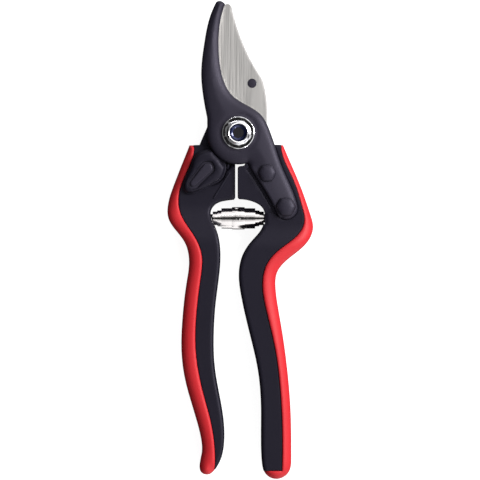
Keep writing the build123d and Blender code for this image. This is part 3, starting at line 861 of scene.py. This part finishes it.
BLADE_CUT, BLADE_BASES = 10.2, (9.0, 9.5)
BLADE_RINGS = (0.15, 0.4, 1.0, 2.0, 3.0, 4.0, 4.6)
BLADE_BACK_CUT = 0.05   # above the blade's back
CUTTING_GAP = 1.0       # where the back's outline is farther in than this, the bevel has its cutting edge
BEVEL_WIDTH, BEVEL_DEPTH, BEVEL_POWER = 4.6, 3.0, 0.85
SPINE_EDGE = (0.3, 0.22)
TANG_TOP = -11.8        # below this place in Y the blade is painted dark: painted shade for the tang where it shows in the gap beside the catch


def blade():
    """The blade: ground flat in front, and hollow ground from the back to its cutting edge."""
    outer = outlines("blade", BLADE_CUT)
    low, high = box_mm("blade")
    at_back = outlines("blade", low[2] + BLADE_BACK_CUT)[:1]
    cutting = loop_distance(outer[0], at_back) > CUTTING_GAP
    edge = edge_runs(outer[0], cutting)
    spine = edge_runs(outer[0], ~cutting)

    def ground(points):
        share = np.clip(1 - distance(points, *edge) / BEVEL_WIDTH, 0, 1)
        return low[2] + BEVEL_DEPTH * share ** BEVEL_POWER

    front = [Level(outer, high[2], *PLAIN, [(*spine, *SPINE_EDGE)])]
    back = [Level(outer, ground, *PLAIN, [(*spine, *SPINE_EDGE)])]
    return build_solid("blade_ground", outer, front, back, BLADE_BASES, BLADE_RINGS, 2)


def paint_tang_shade(piece):
    """Paints the tang dark where it goes into the handle: painted shade where it shows in the gap beside the
    catch.
    """
    piece.data.materials.append(DARK_STEEL_AND_TANG_SHADE)
    for face in piece.data.polygons:
        if face.center.y < TANG_TOP * MM:
            face.material_index = 1


def blade_plug():
    """The round plug in the blade, with a softened edge."""
    low, high = box_mm("blade_plug")
    radius = (high - low)[0] / 2
    profile = [(0.01, low[2]), (radius - 0.1, low[2]), (radius - 0.1, high[2] - 0.25),
               (radius - 0.25, high[2] - 0.06), (radius - 0.6, high[2]), (0.01, high[2])]
    return lathe("blade_plug_button", profile, (low + high)[:2] / 2, 48)


def place_blade():
    """The blade with its tang painted dark as painted shade, and its plug."""
    ground = blade()
    finish_piece(ground, BLADE, "blade_side", "blade_steel", "blade")
    paint_tang_shade(ground)
    finish_piece(blade_plug(), COVER, "blade_side", "cover_black", "blade_plug")


# ---- the catch -----------------------------------------------------------------------------------

CATCH = np.array([-13.5, -15.5])        # the place of the catch's screw
FLANGE_CUT, FLANGE_TOP = 13.0, 13.2
BORE_CUT, DISC_CUT = 12.9, 12.0
CROWN_CUT, CROWN_FALL = 16.0, 0.007     # the crown falls by this times the square of the way from the screw
CROWN_EDGE, POCKET_EDGE = (1.6, 1.3), (0.7, 0.5)
POCKET_FLOOR = 14.8
CATCH_BASES = (12.9, 12.7)
CATCH_RINGS = (0.15, 0.35, 0.7, 1.1, 1.6, 2.2)

PLATE_CUT, TROUGH = 15.2, 15.7
KEY_CUT, KEY_EDGE = 16.4, (0.45, 0.4)
KEY_BASES = (15.6, 15.0)
KEY_RINGS = (0.15, 0.3, 0.5, 0.9)


def catch_lever():
    """The lever: a low flange under a rounded drop-shaped crown, with a pocket for the key's plate."""
    node = "catch_lever"
    bore = outlines(node, BORE_CUT)[-1]
    outer = [outlines(node, FLANGE_CUT)[0], bore]
    crown = outlines(node, CROWN_CUT)
    low, high = box_mm(node)

    def dome(points):
        return high[2] - CROWN_FALL * ((points - CATCH) ** 2).sum(1)

    soft = [(*whole(crown[0]), *CROWN_EDGE), (*whole(crown[1]), *POCKET_EDGE)]
    front = [
        Level(outer, FLANGE_TOP, 0.35),
        Level(crown[:2], dome, *PLAIN, soft),
        Level([crown[1], bore], POCKET_FLOOR, 0.05),
    ]
    back = [Level([outlines(node, DISC_CUT)[0], bore], low[2], 0.1)]
    return build_solid("catch_lever_crown", outer, front, back, CATCH_BASES, CATCH_RINGS)


def catch_key():
    """The plate over the catch's screw, with a raised key in a trough."""
    outer = outlines("catch_key", PLATE_CUT)[:1]
    low, high = box_mm("catch_key")
    key = outlines("catch_key", KEY_CUT)[:1]
    front = [Level(outer, TROUGH, 0.05), Level(key, high[2], *KEY_EDGE)]
    back = [Level(outer, low[2], 0.05)]
    return build_solid("catch_key_plate", outer, front, back, KEY_BASES, KEY_RINGS, 2)


def place_catch():
    """The catch and the plate in it."""
    finish_piece(catch_lever(), BLACK, "catch", "handle_black", "catch_lever")
    finish_piece(catch_key(), COVER, "catch", "handle_black", "catch_key")


# ---- the spring ----------------------------------------------------------------------------------

# The spring's strip from its outer end to its inner end: after so many turns, half the strip's width and
# the radius of its outer side.
SPRING_STRIP = [(0.0, 0.5, 5.1), (0.08, 2.2, 5.1), (0.18, 2.75, 5.1), (1.40, 2.95, 4.93), (1.50, 7.5, 4.66),
                (2.40, 7.7, 4.58), (2.50, 9.3, 3.7), (3.40, 9.6, 3.6), (3.50, 11.4, 3.15), (4.3, 11.58, 3.1)]
STRIP_THICK = 0.40
STRIP_DROOP = 0.05          # how far the strip's edges curl in
STRIP_ACROSS = 13           # points across the strip
STEPS_PER_TURN = 60
STRIP_START = math.radians(100)


def volute_spring():
    """A flat strip that widens as it winds inwards, so that each turn stands out past the one over it."""
    low, high = box_mm("volute_spring")
    centre = (low + high) / 2
    marks, halves, radii = zip(*SPRING_STRIP)
    across = np.linspace(-1, 1, STRIP_ACROSS)
    section = [(u, STRIP_DROOP * u ** 4) for u in across]
    section += [(u, STRIP_DROOP * u ** 4 + STRIP_THICK) for u in across[::-1]]
    verts, polygons = [], []
    rows = int(marks[-1] * STEPS_PER_TURN)
    for row in range(rows + 1):
        turn = marks[-1] * row / rows
        half, radius = np.interp(turn, marks, halves), np.interp(turn, marks, radii)
        angle = STRIP_START - 2 * math.pi * turn
        for u, inset in section:
            y = centre[1] + (radius - inset) * math.cos(angle)
            z = centre[2] + (radius - inset) * math.sin(angle)
            verts.append((centre[0] + u * half, y, z))
    width = len(section)
    for row in range(rows):
        for k in range(width):
            a, b = row * width + k, row * width + (k + 1) % width
            polygons.append((a, b, b + width, a + width))
    for base in (0, rows * width):
        for k in range(STRIP_ACROSS - 1):
            polygons.append((base + k, base + k + 1, base + width - 2 - k, base + width - 1 - k))
    return mesh_object("volute_spring_strip", verts, polygons)


def place_spring():
    """The spring, in its place, instead of the CAD spring."""
    spring = volute_spring()
    spring.data.materials.append(SPRING)
    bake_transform(spring)
    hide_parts("volute_spring")


place_handles()
place_cover()
place_blade()
place_catch()
place_spring()
for node in ("counter_blade", "pivot_washer", "catch_washer"):
    paint_cad(node, PLATE)
for node in ("pivot_bolt", "tongue_screw_upper", "tongue_screw_lower", "tang_screw_upper", "tang_screw_lower",
             "spring_peg_left", "spring_peg_right", "catch_screw"):
    paint_cad(node, DARK_STEEL_AND_TANG_SHADE)
paint_cad("pivot_bush", BRONZE)


# ---- the studio ----------------------------------------------------------------------------------

def make_floor():
    """A pale floor that glows, as a light table does, and that the tool doesn't mirror."""
    size, gap = 1.6, 0.0002
    low = CAD_BOX[0].z - gap
    corners = [(-size, -size, low), (size, -size, low), (size, size, low), (-size, size, low)]
    mesh = bpy.data.meshes.new("floor")
    mesh.from_pydata(corners, [], [(0, 1, 2, 3)])
    floor = bpy.data.objects.new("floor", mesh)
    bpy.context.scene.collection.objects.link(floor)
    made, _, shader = material("pale_floor", (0.35, 0.35, 0.35), 0.0, 0.8)
    shader.inputs["Specular IOR Level"].default_value = 0.0
    shader.inputs["Emission Color"].default_value = (1, 1, 1, 1)
    shader.inputs["Emission Strength"].default_value = 0.92
    mesh.materials.append(made)
    floor.visible_diffuse = False
    floor.visible_glossy = False


def make_light(name, place, size, power, target):
    """An area light that looks at a target."""
    data = bpy.data.lights.new(name, "AREA")
    data.shape = "RECTANGLE"
    data.size, data.size_y = size
    data.energy = power
    light = bpy.data.objects.new(name, data)
    light.location = place
    light.rotation_euler = (Vector(target) - Vector(place)).to_track_quat("-Z", "Y").to_euler()
    bpy.context.scene.collection.objects.link(light)


# How bright the tent is from straight down (0) to straight up (1), by (height, brightness).
TENT = [(0.0, 0.03), (0.48, 0.06), (0.54, 0.20), (0.80, 0.40), (0.88, 1.40), (0.976, 1.40), (0.984, 0.03)]
WALL_BRIGHTNESS = 2.3
# Places on the tent below are parts of a direction whose length is 1.
WALL_REACH = (0.40, 0.62)       # in Y, where the walls at both ends begin and where they are fully bright
WALL_FOOT = (-0.72, -0.66)      # in Z, where they begin and where they are fully bright
SIDE_REACH = (-0.35, 0.3)       # in X, between which the whole tent goes from dim to bright
SIDE_BRIGHTNESS = (0.10, 0.75)


def combine(tree, operation, *sources):
    """One value worked out of others."""
    node = add(tree, "ShaderNodeMath", operation=operation)
    for socket, source in zip(node.inputs, sources):
        tree.links.new(source, socket)
    return node.outputs[0]


def tent_tones(tree, up):
    """The tent's brightness by height."""
    tones = add(tree, "ShaderNodeValToRGB")
    stops = tones.color_ramp.elements
    while len(stops) < len(TENT):
        stops.new(0.5)
    for stop, (where, tone) in zip(stops, TENT):
        stop.position = where
        stop.color = (tone, tone, tone, 1)
    tree.links.new(remap(tree, up, (-1, 1), (0, 1)), tones.inputs["Fac"])
    return tones.outputs["Color"]


def make_world():
    """A soft tent: brighter on the right, with bright end walls, dark below and with a dark gap overhead."""
    world = bpy.data.worlds.new("studio")
    bpy.context.scene.world = world
    world.use_nodes = True
    tree = world.node_tree
    back = tree.nodes["Background"]
    place = add(tree, "ShaderNodeTexCoord")
    split = add(tree, "ShaderNodeSeparateXYZ")
    tree.links.new(place.outputs["Generated"], split.inputs["Vector"])
    walls = remap(tree, combine(tree, "ABSOLUTE", split.outputs["Y"]), WALL_REACH, (0, WALL_BRIGHTNESS))
    foot = remap(tree, split.outputs["Z"], WALL_FOOT, (0, WALL_BRIGHTNESS))
    ends = combine(tree, "MINIMUM", walls, foot)
    tent = combine(tree, "MAXIMUM", ends, tent_tones(tree, split.outputs["Z"]))
    tree.links.new(tent, back.inputs["Color"])
    tree.links.new(remap(tree, split.outputs["X"], SIDE_REACH, SIDE_BRIGHTNESS), back.inputs["Strength"])


def make_camera():
    """Straight above the tool, and far enough away that there is little perspective."""
    view_width, lens_distance, sensor = 0.216, 1.2, 36.0
    view_height, shift = 0.015, 0.0001      # where the view is that wide, and how far it is moved left
    centre = ((CAD_BOX[0].x + CAD_BOX[1].x) / 2, (CAD_BOX[0].y + CAD_BOX[1].y) / 2)
    data = bpy.data.cameras.new("camera")
    data.sensor_width = sensor
    data.lens = sensor * lens_distance / view_width
    camera = bpy.data.objects.new("camera", data)
    camera.location = (centre[0] - shift, centre[1], view_height + lens_distance)
    bpy.context.scene.collection.objects.link(camera)
    bpy.context.scene.camera = camera


TOOL = (0, -0.05, 0)    # what the lights look at: the middle of the tool
make_floor()
make_light("key", (0.90, 0.30, 0.88), (0.45, 0.6), 21, TOOL)
make_light("window", (-0.22, 0.75, 1.0), (0.20, 0.12), 0.9, TOOL)
make_light("glint", (0.35, -0.55, 0.8), (0.08, 0.08), 0.4, TOOL)
make_world()
make_camera()
bpy.context.scene.view_settings.view_transform = "Standard"
